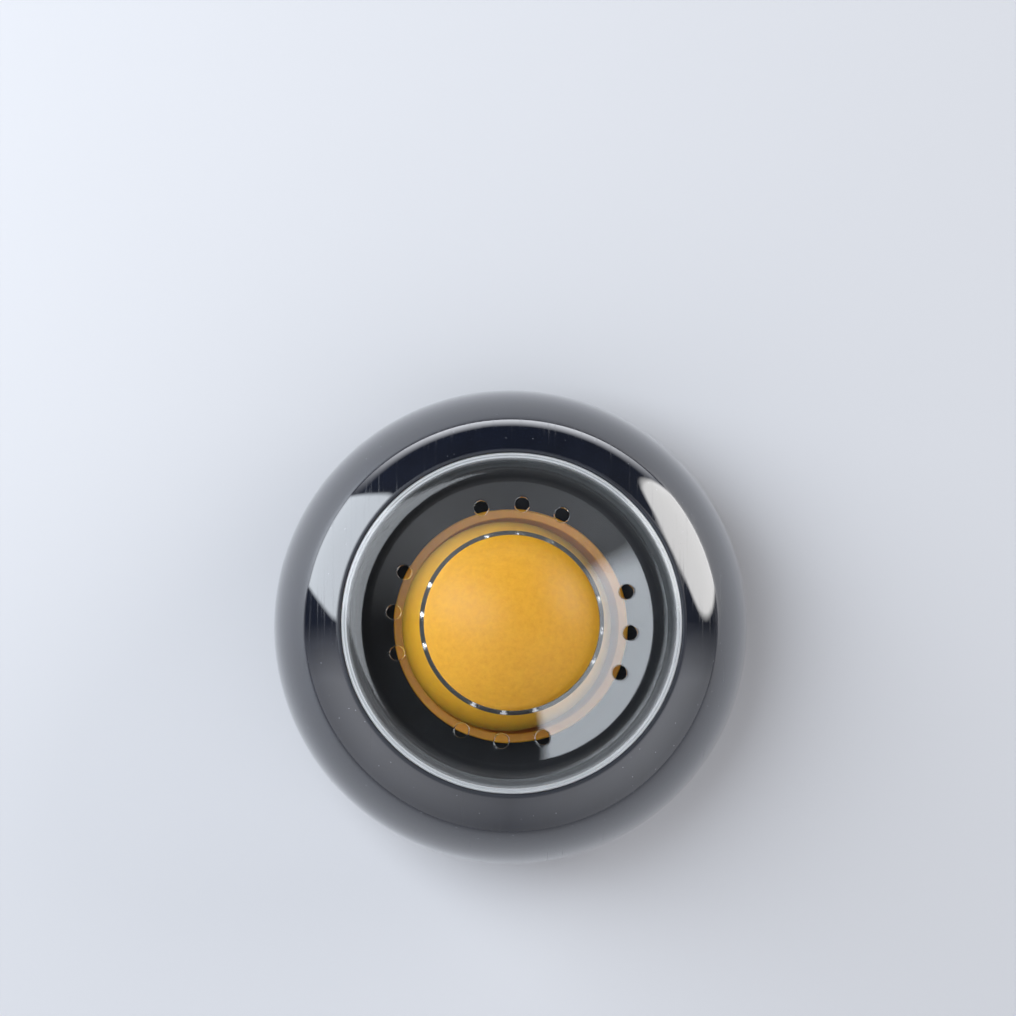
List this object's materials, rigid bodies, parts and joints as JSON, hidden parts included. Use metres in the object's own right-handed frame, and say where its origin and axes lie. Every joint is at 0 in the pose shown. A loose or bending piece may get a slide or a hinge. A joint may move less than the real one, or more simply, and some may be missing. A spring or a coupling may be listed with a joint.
{
  "type": "finger moistener",
  "caption": "Squat round desk finger moistener: a glossy water tank with a clear drained bowl and a loose ball that a fingertip rolls to wet itself.",
  "frame": {"origin": "on the housing's axis, at the foot ring's underside", "axes": "+Z up along the housing's axis, +X to the right and +Y up in the picture's near-overhead view"},
  "size_m": [0.09, 0.09, 0.041],
  "materials": {
    "housing_plastic": "glossy black polystyrene with a faint blue cast",
    "clear_plastic": "clear glossy polystyrene",
    "ball_plastic": "satin yellow-orange plastic"
  },
  "bodies": {
    "housing": {"base_tank": "housing_plastic", "upper_shell": "housing_plastic", "ball_cup": "ball_plastic"},
    "bowl": {"clear_bowl": "clear_plastic"},
    "ball": {"ball_upper_half": "ball_plastic", "ball_lower_half": "ball_plastic"}
  },
  "joints": [
    {"name": "ball_roll", "type": "hinge", "parent": "housing", "child": "ball", "pos_m": [-0.00085, -0.00028, 0.0212], "axis": [1, 0, 0], "continuous": true},
    {"name": "bowl_lift", "type": "slide", "parent": "housing", "child": "bowl", "axis": [0, 0, 1], "range_m": [0, 0.045]}
  ]
}
